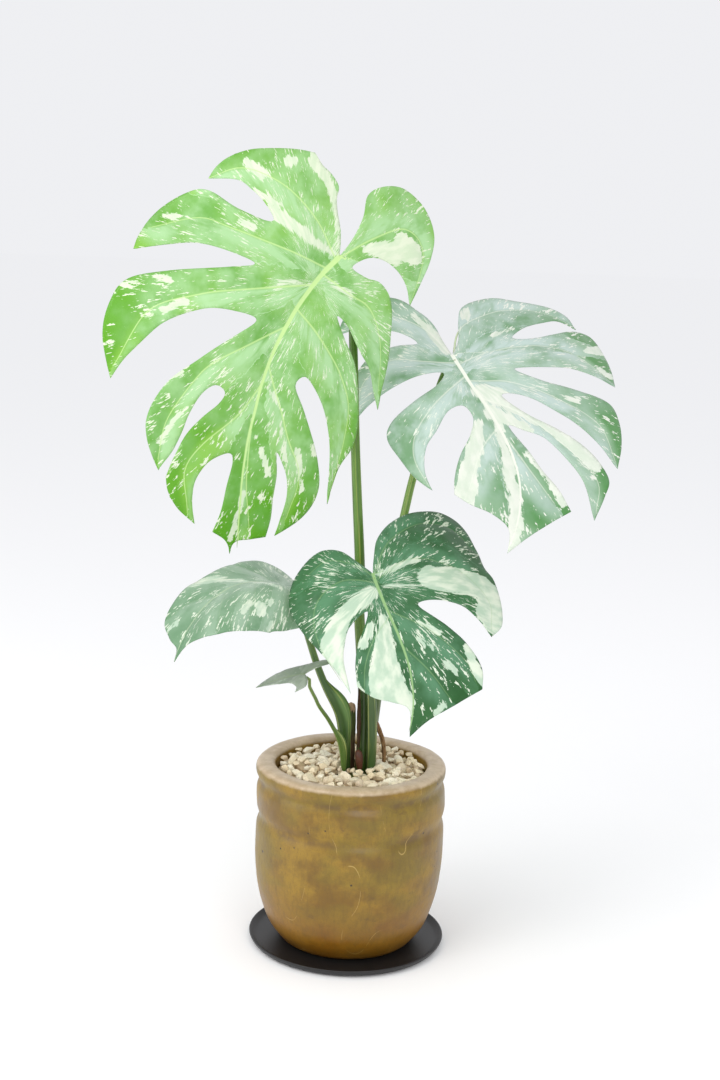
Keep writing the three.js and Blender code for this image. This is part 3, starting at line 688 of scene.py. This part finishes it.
def blade_skin(name, greens, cream, rib, fleck_share, vein_share, sheen, shade_from):
    """A blade's upper skin: mottled green, painted shade and sheen beside the side veins, painted sheen near the stalk,
    cream sectors with ragged edges, flecks along the veins, pale veins.
    """
    skin = Skin(name, Specular_IOR_Level=0.35, Sheen_Weight=sheen, Sheen_Roughness=0.4)
    deep, middle, painted_sheen_green = greens
    rib_side, rib_width, _ = skin.parts(skin.attribute("rib"))
    vein_side, vein_far, vein_width = skin.parts(skin.attribute("vein"))
    clouds = skin.noise(skin.attribute("flat", [1 / 60] * 3), 2)
    colour = skin.mix(skin.ramp(clouds, 0.34, 0.66), deep, middle)
    outer = skin.parts(skin.attribute("flat"))[2]
    outer = skin.math("ADD", outer, skin.math("SUBTRACT", clouds, 0.5))
    # Painted shade: deep green on one side of each side vein, stronger towards the margin.
    painted_vein_shade = skin.math("MULTIPLY", skin.ramp(vein_side, 1, -9), skin.ramp(outer, shade_from, shade_from + 0.35))
    colour = skin.mix(skin.math("MULTIPLY", painted_vein_shade, 0.8), colour, deep)
    fan = skin.noise(skin.attribute("grain", [1 / 15] * 3), 3, 0.6)
    # Painted sheen: pale silver green on the other side of each side vein, fading towards the margin.
    painted_vein_sheen = skin.math("MULTIPLY", skin.ramp(vein_side, -1, 3), skin.ramp(vein_side, 24, 8))
    painted_vein_sheen = skin.math("MULTIPLY", painted_vein_sheen, skin.ramp(fan, 0.34, 0.56, 0.1, 0.95))
    painted_vein_sheen = skin.math("MULTIPLY", painted_vein_sheen, skin.ramp(outer, 0.45, 0.85, 1, 0.35))
    colour = skin.mix(painted_vein_sheen, colour, painted_sheen_green)
    # Painted sheen: patches of the same silver green near the stalk.
    sheen_patches = skin.noise(skin.attribute("flat", [1 / 28] * 3), 3, 0.6)
    inner = skin.math("MULTIPLY", skin.ramp(outer, 0.85, 0.3), skin.ramp(sheen_patches, 0.32, 0.66, 0.2, 0.7))
    colour = skin.mix(inner, colour, painted_sheen_green)
    milk = skin.mix(skin.ramp(skin.noise(skin.attribute("grain", [1 / 6] * 3), 3), 0.35, 0.62), cream[0], cream[1])
    colour = skin.mix(fleck_field(skin, fleck_share), colour, cream[0])
    colour = skin.mix(skin.ramp(ragged_field(skin), -0.5, 0.5), colour, milk)
    near = skin.ramp(vein_far, 5, 3)
    line = skin.ramp(skin.math("SUBTRACT", skin.math("ABSOLUTE", vein_side), vein_width), 0.5, -0.2)
    colour = skin.mix(skin.math("MULTIPLY", skin.math("MULTIPLY", line, near), vein_share), colour, rib)
    line = skin.ramp(skin.math("SUBTRACT", skin.math("ABSOLUTE", rib_side), rib_width), 0.6, -0.4)
    colour = skin.mix(line, colour, rib)
    skin.colour(colour)
    skin.roughness(skin.ramp(fan, 0.3, 0.7, 0.42, 0.3))
    net = skin.cells(skin.attribute("flat", [1 / 3.2] * 3))["Distance"]
    fine = skin.noise(skin.attribute("flat"), 2)
    skin.bump(skin.math("ADD", skin.math("MULTIPLY", net, 0.6), fine), 0.12, 0.5)
    return skin.material


def back_skin(name, green, cream, fleck_share):
    """A blade's underside: paler and matt, with the same cream sectors showing through."""
    skin = Skin(name, Roughness=0.6, Specular_IOR_Level=0.35)
    clouds = skin.noise(skin.attribute("flat", [1 / 30] * 3), 3)
    colour = skin.mix(skin.ramp(clouds, 0.35, 0.65, 0, 0.15), green, cream)
    colour = skin.mix(skin.ramp(ragged_field(skin), -0.6, 0.6, 0, 0.85), colour, cream)
    colour = skin.mix(skin.math("MULTIPLY", fleck_field(skin, fleck_share), 0.45), colour, cream)
    skin.colour(colour)
    skin.bump(skin.cells(skin.attribute("flat", [1 / 3.2] * 3))["Distance"], 0.15, 0.5)
    return skin.material


# The blades


def midrib_offset(leaf, t):
    """How far the midrib lies from the line s = 0 at height t of the flat blade."""
    early, late = leaf["sway"]
    u = np.asarray(t, float) / leaf["length"]
    inside = u * (1 - u) * (early * (1 - u) + late * u)
    return np.where(u > 0, inside, early * u * np.exp(np.minimum(u, 0) * leaf["length"] / 30))


def blade_turn(leaf):
    heading, pitch, roll = (math.radians(angle) for angle in leaf["turn"])
    return Matrix.Rotation(heading, 3, "Z") @ Matrix.Rotation(pitch, 3, "X") @ Matrix.Rotation(roll, 3, "Y")


def bent(leaf, s, t, lift):
    """Flat points, raised by lift, on the bent blade. The midrib droops along an arc, each half curls down
    along an arc of its own, and the blade folds up a little from the midrib's crease."""
    s, t = np.asarray(s, float), np.asarray(t, float)
    bend = math.radians(leaf["droop"]) / leaf["length"]
    offset = midrib_offset(leaf, t)
    away = s - offset
    left_curl, right_curl = leaf["curl"]
    curl = np.radians(np.where(away > 0, left_curl, right_curl)) / (leaf["width"] / 2)
    sideways = np.sin(curl * away) / curl + offset
    rise = leaf["fold"] * (np.hypot(away, leaf["crease"]) - leaf["crease"])
    height = lift + rise - (1 - np.cos(curl * away)) / curl
    forwards = np.sin(bend * t) / bend + height * np.sin(bend * t)
    upwards = -(1 - np.cos(bend * t)) / bend + height * np.cos(bend * t)
    local = np.stack([sideways, forwards, upwards], -1)
    return local @ np.array(blade_turn(leaf)).T + np.array(leaf["at"], float)


def bent_point(leaf, s, t, lift):
    return Vector(bent(leaf, [s], [t], lift)[0])


def vein_lines(name):
    """The midrib and the side veins as smooth lines on the flat blade, with half their width at foot and end."""
    leaf = LEAVES[name]
    length = leaf["length"]
    stations = np.linspace(0, length, 40)
    lines = [(list(zip(midrib_offset(leaf, stations), stations)), 0.0145 * length**0.9, 0.35)]
    for foot, points in VEINS[name]:
        start = (float(midrib_offset(leaf, foot)), foot)
        lines.append(([tuple(p) for p in smooth_run([start, *points], 6)], 0.75, 0.2))
    return lines


def distance_to(line, spots):
    """How far each spot is from a line, on which side (+1 or -1), and how far along it as a share."""
    line = np.array([tuple(p) for p in line], float)
    starts, runs = line[:-1], np.diff(line, axis=0)
    square = np.maximum((runs**2).sum(1), 1e-9)
    away = spots[:, None, :] - starts[None]
    share = np.clip((away * runs[None]).sum(2) / square, 0, 1)
    gap = away - share[..., None] * runs[None]
    far = np.hypot(gap[..., 0], gap[..., 1])
    nearest = far.argmin(1)
    rows = np.arange(len(spots))
    side = np.sign(runs[nearest, 0] * gap[rows, nearest, 1] - runs[nearest, 1] * gap[rows, nearest, 0])
    return far[rows, nearest], side, (nearest + share[rows, nearest]) / len(runs)


def flat_blade(leaf):
    """The flat blade: its outline filled, then cut and evened out until no edge is long."""
    bm = bmesh.new()
    outline = []
    for run in leaf["outline"]:
        outline += smooth_run(run, OUTLINE_STEP)[:-1]
    corners = [bm.verts.new((p[0], p[1], 0)) for p in outline]
    edges = [bm.edges.new(pair) for pair in zip(corners, corners[1:] + corners[:1])]
    bmesh.ops.triangle_fill(bm, use_beauty=True, edges=edges)
    limit = leaf["length"] / 2
    while limit > BLADE_MESH:
        limit = max(BLADE_MESH, limit / 2)
        for _ in range(2):
            long_edges = [e for e in bm.edges if not e.is_boundary and e.calc_length() > limit * 1.35]
            bmesh.ops.subdivide_edges(bm, edges=long_edges, cuts=1)
            bmesh.ops.triangulate(bm, faces=bm.faces)
            inner = [edge for edge in bm.edges if not edge.is_boundary]
            bmesh.ops.beautify_fill(bm, faces=bm.faces, edges=inner, method="ANGLE")
            free = [vert for vert in bm.verts if not vert.is_boundary]
            bmesh.ops.smooth_vert(bm, verts=free, factor=0.5, use_axis_x=True, use_axis_y=True)
    for face in bm.faces:
        face.normal_update()
    down = [face for face in bm.faces if face.normal.z < 0]
    bmesh.ops.reverse_faces(bm, faces=down)
    return bm


def blade_fields(name, spots):
    """For every spot of the flat blade: nearest side vein, midrib and cream, and the fan's place."""
    leaf = LEAVES[name]
    lines = vein_lines(name)
    rib_far, _, rib_along = distance_to(lines[0][0], spots)
    rib_side = spots[:, 0] - midrib_offset(leaf, spots[:, 1])
    rib_width = lines[0][1] + (lines[0][2] - lines[0][1]) * rib_along
    rib_side = np.where(spots[:, 1] < 0, rib_far + 0.5, np.sign(rib_side) * rib_far)
    vein_far = np.full(len(spots), 1e3)
    vein_side = np.full(len(spots), 1e3)
    vein_width = np.zeros(len(spots))
    for line, foot, end in lines[1:]:
        far, side, along = distance_to(line, spots)
        closer = far < vein_far
        vein_side = np.where(closer, far * side, vein_side)
        vein_width = np.where(closer, foot + (end - foot) * along, vein_width)
        vein_far = np.where(closer, far, vein_far)
    cream = np.full(len(spots), -50.0)
    for points, start, end in STREAKS[name]:
        far, _, along = distance_to(smooth_run(points, 6), spots)
        cream = np.maximum(cream, start + (end - start) * along - far)
    fan_x, fan_y = float(midrib_offset(leaf, 0.1 * leaf["length"])), 0.1 * leaf["length"]
    reach = np.hypot(spots[:, 0] - fan_x, spots[:, 1] - fan_y)
    turn = np.arctan2(spots[:, 0] - fan_x, spots[:, 1] - fan_y)
    grain = np.stack([turn * leaf["length"] / 3, reach / 3.6, np.zeros(len(spots))], 1)
    vein = np.stack([vein_side * np.sign(rib_side), vein_far, vein_width], 1)
    rib = np.stack([rib_side, rib_width, cream], 1)
    return vein, rib, grain, reach / leaf["length"]


def blade_lift(leaf, spots, nearest):
    """How far the upper skin stands off the plain bent sheet: puffed up between veins, and a little wavy."""
    size = leaf["length"] / 300
    puff = 2.2 * size * (1 - np.exp(-((nearest / (9 * size)) ** 1.4)))
    ripple = [noise.noise((s / (34 * size), t / (34 * size), size * 9)) for s, t in spots]
    return puff + 1.6 * size * np.array(ripple) - 0.6


def blade(name, skins):
    """A blade: puffed up between its sunken veins, a little wavy, solid and with a paler underside."""
    leaf = LEAVES[name]
    bm = flat_blade(leaf)
    mesh = bpy.data.meshes.new(name + "_blade")
    bm.to_mesh(mesh)
    bm.free()
    places = np.zeros(len(mesh.vertices) * 3)
    mesh.vertices.foreach_get("co", places)
    places = places.reshape(-1, 3)
    spots = places[:, :2].copy()
    vein, rib, grain, reach = blade_fields(name, spots)
    lift = blade_lift(leaf, spots, np.minimum(vein[:, 1], np.abs(rib[:, 0])))
    shaped = bent(leaf, spots[:, 0], spots[:, 1], lift) * MM
    mesh.vertices.foreach_set("co", shaped.ravel())
    layers = {"flat": np.c_[spots, reach], "vein": vein, "rib": rib, "grain": grain}
    for layer, values in layers.items():
        attribute = mesh.attributes.new(layer, "FLOAT_VECTOR", "POINT")
        attribute.data.foreach_set("vector", values.astype(np.float32).ravel())
    for polygon in mesh.polygons:
        polygon.use_smooth = True
    for skin in skins:
        mesh.materials.append(skin)
    piece = bpy.data.objects.new(name + "_blade", mesh)
    bpy.context.scene.collection.objects.link(piece)
    solid = piece.modifiers.new("thickness", "SOLIDIFY")
    solid.thickness = BLADE_THICKNESS * MM
    solid.offset = -1
    solid.material_offset = 1
    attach(piece, "root")
    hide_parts(name + "_leaf")


def underside_veins(name, skin):
    """The veins stand out under the blade, thick at the stalk and thin at the margin."""
    leaf = LEAVES[name]
    size = leaf["length"] / 300
    head = STALKS[name]["size"][1]
    bm = bmesh.new()
    for number, (line, _, _) in enumerate(vein_lines(name)):
        foot, end = (head * 0.8, 0.5 * size) if number == 0 else (1.5 * size, 0.35 * size)
        spots = np.array([tuple(p) for p in line[:-1]])
        radii = foot + (end - foot) * np.linspace(0, 1, len(spots))
        lift = blade_lift(leaf, spots, np.zeros(len(spots))) - 0.65 * BLADE_THICKNESS - radii
        path = [Vector(p) for p in bent(leaf, spots[:, 0], spots[:, 1], lift)]
        rod(bm, path, lambda u, _: foot + (end - foot) * u, 8, 7)
    bmesh.ops.recalc_face_normals(bm, faces=bm.faces)
    finished(bm, name + "_underside_veins", [], [skin])


# The stalks


def stalk(name, skin):
    """A stalk with a sheath wing near its foot and a thicker knee under the blade."""
    leaf, data = LEAVES[name], STALKS[name]
    foot, head = data["size"]
    elbow = bent_point(leaf, 0, -1.2 * head, -1.8 - 4.4 * head)
    neck = bent_point(leaf, 0, head + 1, -1.8 - 1.6 * head)
    end = bent_point(leaf, 0, head + 1, -0.9)
    first = Vector(data["foot"][0]) + Vector((0, 0, -6))
    side = Vector(data["side"]).normalized()

    def reach(u, outwards):
        wing = data["wing"] * math.sin(math.pi * min(1, u / data["wingEnd"]) ** 1.7)
        knee = 0.16 * head * math.exp(-(((u - 0.955) / 0.03) ** 2))
        facing = max(0, outwards.dot(side))
        return foot + (head - foot) * u**0.8 + wing * facing**3 + knee

    bm = bmesh.new()
    rod(bm, [first, *data["foot"], elbow, neck, end], reach, STALK_SIDES, 3, rounded=False)
    bmesh.ops.recalc_face_normals(bm, faces=bm.faces)
    finished(bm, name + "_stalk", [name + "_leaf_stalk"], [skin])


def small_rod(name, node, skin, path, reach, sides=12):
    bm = bmesh.new()
    rod(bm, path, reach, sides, 2)
    for vert in bm.verts:
        shift = noise.noise_vector(vert.co / (5 * MM))
        vert.co += shift * 0.35 * MM
    bmesh.ops.recalc_face_normals(bm, faces=bm.faces)
    finished(bm, name, [node], [skin], 50)


def crown_pieces():
    """The cut stub, the dry sheath, the bud and the aerial root at the crown."""
    pale = dry_skin("dry_tissue", lit(176, 142, 100), lit(100, 68, 42))
    brown = dry_skin("dry_sheath", lit(84, 60, 38), lit(40, 28, 18))
    small_rod(
        "stalk_stub", "cut_stalk_stub", stub_skin(),
        [(-2, 8, 172), (-2, 7, 204), (-2, 5, 228), (-3, 4, 243)], lambda u, _: 4.8 - 0.4 * u,
    )
    small_rod(
        "dry_sheath_strip", "dry_sheath", brown,
        [(6, -8.4, 200), (5.5, -7.6, 225), (5, -5.4, 245), (4.6, -3, 260)],
        lambda u, _: 0.5 + 1.7 * math.sin(math.pi * (0.12 + 0.84 * u)),
    )
    bud = Skin("bud_scale", Roughness=0.5)
    bud.colour(bud.mix(bud.noise(bud.place(2.5), 3), lit(50, 26, 16), lit(112, 62, 40)))
    small_rod(
        "root_bud_tip", "root_bud", bud.material,
        [(8, -9.8, 178), (7.2, -11.2, 188), (5.8, -11, 200)], lambda u, _: 2.4 + 1.6 * math.sin(math.pi * u**1.3),
    )
    small_rod(
        "aerial_root_skin", "aerial_root", pale,
        [(22, 4, 224), (26, 8, 214), (29.5, 13, 203), (31.5, 18, 190), (32, 21, 166)], lambda u, _: 2.5 - 0.6 * u,
    )


def crown(skin):
    """The short stem that the stalks grow from, ringed by old leaf scars."""
    bm = bmesh.new()
    r = CROWN_RADIUS
    profile = [(0, 118), (0.55 * r, 118), (0.8 * r, 130), (0.9 * r, 148), (r, 162), (r, 169), (0.92 * r, 174), (0, 176)]
    turned(bm, [tuple(p) for p in smooth_run(profile, 3)], 48)
    for vert in bm.verts:
        vert.co += noise.noise_vector(vert.co / (9 * MM)) * 1.2 * MM
        vert.co.x = max(vert.co.x, -r * MM)
    bmesh.ops.translate(bm, verts=bm.verts, vec=(CROWN_PLACE[0] * MM, CROWN_PLACE[1] * MM, 0))
    finished(bm, "crown_stem", ["main_stem"], [skin])


# The pot and what is in it


def saucer(skin):
    bm = bmesh.new()
    edge = SAUCER_RADIUS
    corner = [(edge - 11, 3.7), (edge - 7, 4.2), (edge - 3.6, 6.2), (edge - 1.6, 7.8)]
    lip = [(edge - 1.0, 8.1), (edge - 0.2, 7.8), (edge, 7.2)]
    under = [(edge - 0.4, 6.2), (edge - 3, 2.4), (edge - 7, 0.7), (edge - 12, 0)]
    rim = [tuple(p) for p in smooth_run([*corner, *lip, *under], 0.8)]
    turned(bm, [(0, 3.7), (40, 3.7), (70, 3.7), *rim, (70, 0), (0, 0)], 160)
    finished(bm, "saucer_dish", ["saucer"], [skin], 60)


def pot(skin):
    """The jar, turned and then knocked slightly out of true, most of all at the lip."""
    base = POT_BASE
    outside = [
        (62, base + 0.4), (67, base + 3.5), (78, base + 18), (84.5, base + 34), (90, base + 56), (92.8, base + 84),
        (93, base + 108), (92.4, base + 119), (90.2, base + 127), (92.6, base + 136), (93.2, base + 146),
        (92.6, base + 156), (90, base + 163), (92.8, base + 170), (93.2, base + 175), (91.8, base + 179),
        (88, base + 181), (82, base + 181.2), (77, base + 180.6), (74.6, base + 178.6), (74, base + 175),
        (74.4, base + 167), (79, base + 141), (80, base + 96), (73, base + 48), (58, base + 13),
    ]
    profile = [(DRAIN_RADIUS, base), (58, base), *[tuple(p) for p in smooth_run(outside, 2.5)]]
    profile += [(50, base + 12), (DRAIN_RADIUS, base + 12)]
    bm = bmesh.new()
    turned(bm, profile, 200, closed=True)
    for vert in bm.verts:
        out = Vector((vert.co.x, vert.co.y, 0)).normalized()
        height = vert.co.z / MM
        loose = 0.5 + 1.2 * max(0, min(1, (height - 110) / 60))
        loose *= min(1, max(0, (height - base - 1) / 12))
        wave = noise.noise(vert.co / (80 * MM)) * 1.3 + noise.noise(vert.co / (30 * MM)) * 0.3
        fine = noise.noise(vert.co / (6 * MM)) * 0.16
        vert.co += out * (wave * loose + fine) * MM
        vert.co.z += noise.noise(Vector((out.x, out.y, 3)) * 1.7) * 1.1 * MM * max(0, min(1, (height - 120) / 50))
    bmesh.ops.recalc_face_normals(bm, faces=bm.faces)
    finished(bm, "pot_body", ["pot"], [skin])


def stone_shape(draw, size):
    """An angular pumice stone: the hull of a few spots on a squashed ball."""
    bm = bmesh.new()
    stretch = Vector((1, draw.uniform(0.62, 0.95), draw.uniform(0.5, 0.85)))
    for _ in range(18):
        spot = Vector((draw.gauss(0, 1), draw.gauss(0, 1), draw.gauss(0, 1))).normalized()
        bm.verts.new(spot * stretch * draw.uniform(0.86, 1.06) * size)
    bmesh.ops.convex_hull(bm, input=bm.verts)
    loose = [vert for vert in bm.verts if not vert.link_faces]
    bmesh.ops.delete(bm, geom=loose, context="VERTS")
    return bm


def gravel(skin):
    """Pumice stones dropped one by one to the lowest of a few spots, each resting on those below."""
    draw = random.Random(11)
    crown_x, crown_y = CROWN_PLACE
    floor = GRAVEL_LEVEL - 2
    placed = np.zeros((0, 4))
    stones = []
    for _ in range(GRAVEL_STONES):
        size = min(9, 3.7 + draw.expovariate(1 / 2.6))
        best = None
        for _ in range(14):
            out = (MOUTH_RADIUS - 1.2 - size) * math.sqrt(draw.random())
            turn = draw.uniform(0, 2 * math.pi)
            x, y = out * math.cos(turn), out * math.sin(turn)
            if math.hypot(x - crown_x, y - crown_y) < CROWN_RADIUS - 7 + size:
                continue
            far = np.hypot(placed[:, 0] - x, placed[:, 1] - y)
            touch = 0.84 * (placed[:, 3] + size)
            under = far < touch
            height = floor + size
            if under.any():
                height = max(height, (placed[under, 2] + np.sqrt(touch[under] ** 2 - far[under] ** 2)).max())
            if best is None or height < best[2]:
                best = (x, y, height)
        if best is None or best[2] + 0.6 * size > GRAVEL_LEVEL + 14.5:
            continue
        placed = np.vstack([placed, [*best, size]])
        stones.append((best, size))
    bm = bmesh.new()
    tone = bm.verts.layers.float_vector.new("stone")
    kinds = []
    for _ in range(14):
        one = stone_shape(draw, 1)
        mesh = bpy.data.meshes.new("stone_kind")
        one.to_mesh(mesh)
        one.free()
        kinds.append(mesh)
    for (x, y, z), size in stones:
        before = len(bm.verts)
        bm.from_mesh(draw.choice(kinds))
        bm.verts.ensure_lookup_table()
        fresh = bm.verts[before:]
        turn = Matrix.Rotation(draw.uniform(0, 6.28), 4, "Z") @ Matrix.Rotation(draw.uniform(-0.7, 0.7), 4, "X")
        bmesh.ops.transform(bm, matrix=Matrix.Translation(Vector((x, y, z)) * MM) @ turn @ Matrix.Scale(size * 1.1 * MM, 4), verts=fresh)
        value = (draw.random(), draw.random(), 0)
        for vert in fresh:
            vert[tone] = value
    for mesh in kinds:
        bpy.data.meshes.remove(mesh)
    bed = bmesh.ops.create_circle(
        bm, segments=64, radius=(MOUTH_RADIUS - 0.6) * MM, cap_ends=True, matrix=Matrix.Translation((0, 0, (floor + 2) * MM))
    )
    for vert in bed["verts"]:
        vert[tone] = (0, 1, 0)
    bmesh.ops.recalc_face_normals(bm, faces=bm.faces)
    finished(bm, "gravel_stones", ["gravel_bed"], [skin], 32)


# The stage


def stage():
    bpy.ops.mesh.primitive_plane_add(size=60)
    floor = bpy.context.object
    floor.name = "floor"
    pale = Skin("floor_pale", Roughness=1.0, Specular_IOR_Level=0.0)
    pale.colour((0.99, 0.99, 0.99, 1))
    floor.data.materials.append(pale.material)
    world = bpy.data.worlds.new("studio")
    bpy.context.scene.world = world
    world.use_nodes = True
    background = world.node_tree.nodes["Background"]
    background.inputs["Color"].default_value = (0.862, 0.868, 0.892, 1)
    background.inputs["Strength"].default_value = 1.0
    for name, place, size, power, colour in (
        ("key", (-1.3, -1.5, 2.2), 1.3, 21, (1.0, 0.985, 0.96)),
        ("fill", (0.55, -1.7, 0.95), 1.0, 9, (1.0, 0.99, 0.97)),
        ("side", (-1.5, -0.5, 0.6), 1.0, 5, (1.0, 0.985, 0.96)),
    ):
        light = bpy.data.lights.new(name, "AREA")
        light.size = size
        light.energy = power
        light.color = colour
        lamp = bpy.data.objects.new(name, light)
        lamp.location = place
        lamp.rotation_euler = (Vector((0, 0, 0.4)) - Vector(place)).to_track_quat("-Z", "Y").to_euler()
        bpy.context.scene.collection.objects.link(lamp)
    bpy.context.scene.view_settings.view_transform = "Standard"


def camera():
    """Level with the leaves, looking a little down, tilted a little on its own axis."""
    lens = bpy.data.cameras.new("camera")
    lens.sensor_width = 36
    lens.lens = 54.9
    eye = bpy.data.objects.new("camera", lens)
    look = Matrix.Rotation(math.radians(90 - 10.7), 4, "X") @ Matrix.Rotation(math.radians(2.1), 4, "Z")
    eye.matrix_world = Matrix.Translation((0, -1.555, 0.7)) @ look
    bpy.context.scene.collection.objects.link(eye)
    bpy.context.scene.camera = eye


def plant():
    cream = (lit(228, 232, 220), lit(212, 223, 206))
    mint = (lit(222, 232, 212), lit(184, 208, 184))
    # The third, palest green of each blade is painted sheen; the right blade's grey middle green is painted sheen as
    # well.
    skins = {
        "top": ((lit(86, 162, 4), lit(132, 192, 62), lit(178, 222, 162)), (lit(230, 240, 212), lit(214, 232, 198)), lit(204, 238, 158), 0.005, 0.7, 0.04, 0.22),
        "right": ((lit(64, 132, 52), lit(156, 188, 158), lit(192, 211, 204)), cream, lit(236, 240, 226), 0.006, 0.45, 0.2, 0.42),
        "front": ((lit(28, 82, 30), lit(54, 106, 56), lit(92, 142, 106)), mint, lit(150, 188, 128), 0.015, 0.3, 0.0, 0.3),
        "left": ((lit(92, 138, 96), lit(126, 162, 128), lit(158, 186, 160)), mint, lit(168, 194, 156), 0.02, 0.2, 0.12, 0.4),
        "young": ((lit(122, 144, 118), lit(146, 162, 142), lit(172, 184, 168)), mint, lit(160, 178, 140), -0.03, 0.3, 0.12, 0.4),
    }
    backs = {
        "top": (lit(150, 190, 110), lit(214, 228, 180), 0),
        "right": (lit(76, 126, 58), lit(206, 220, 180), 0),
        "front": (lit(84, 132, 66), lit(206, 218, 184), 0.02),
        "left": (lit(116, 150, 100), lit(206, 218, 184), 0.03),
        "young": (lit(130, 152, 112), lit(200, 212, 184), -0.03),
    }
    stalks = {
        "top": (lit(50, 76, 20), lit(72, 110, 30), lit(98, 136, 52), lit(156, 168, 84)),
        "right": (lit(62, 86, 30), lit(96, 134, 52), lit(126, 158, 74), lit(178, 186, 104)),
        "front": (lit(48, 78, 28), lit(116, 152, 78), lit(150, 180, 108), lit(200, 204, 126)),
        "left": (lit(52, 82, 30), lit(70, 106, 44), lit(96, 134, 62), lit(168, 182, 96)),
        "young": (lit(74, 106, 40), lit(124, 148, 66), lit(150, 172, 92), lit(186, 194, 116)),
    }
    for name in LEAVES:
        back, milk, share = backs[name]
        upper = blade_skin(name + "_leaf_upper", *skins[name])
        lower = back_skin(name + "_leaf_lower", back, milk, share)
        blade(name, [upper, lower])
        underside_veins(name, stalk_skin(name + "_vein", back, back, milk, milk, 0.3))
        stalk(name, stalk_skin(name + "_stalk_green", *stalks[name]))


saucer(saucer_skin())
pot(glaze_skin())
gravel(pumice_skin())
crown(dry_skin("crown_bark", lit(120, 128, 70), lit(74, 74, 38)))
crown_pieces()
plant()
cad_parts["drain_mesh"].data.materials.clear()
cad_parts["drain_mesh"].data.materials.append(mottled_skin("drain_mesh_black", lit(26, 26, 26), lit(36, 36, 36), 0.6))
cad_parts["potting_soil"].data.materials.clear()
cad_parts["potting_soil"].data.materials.append(mottled_skin("soil_brown", lit(46, 34, 24), lit(74, 56, 42), 0.95))
stage()
camera()
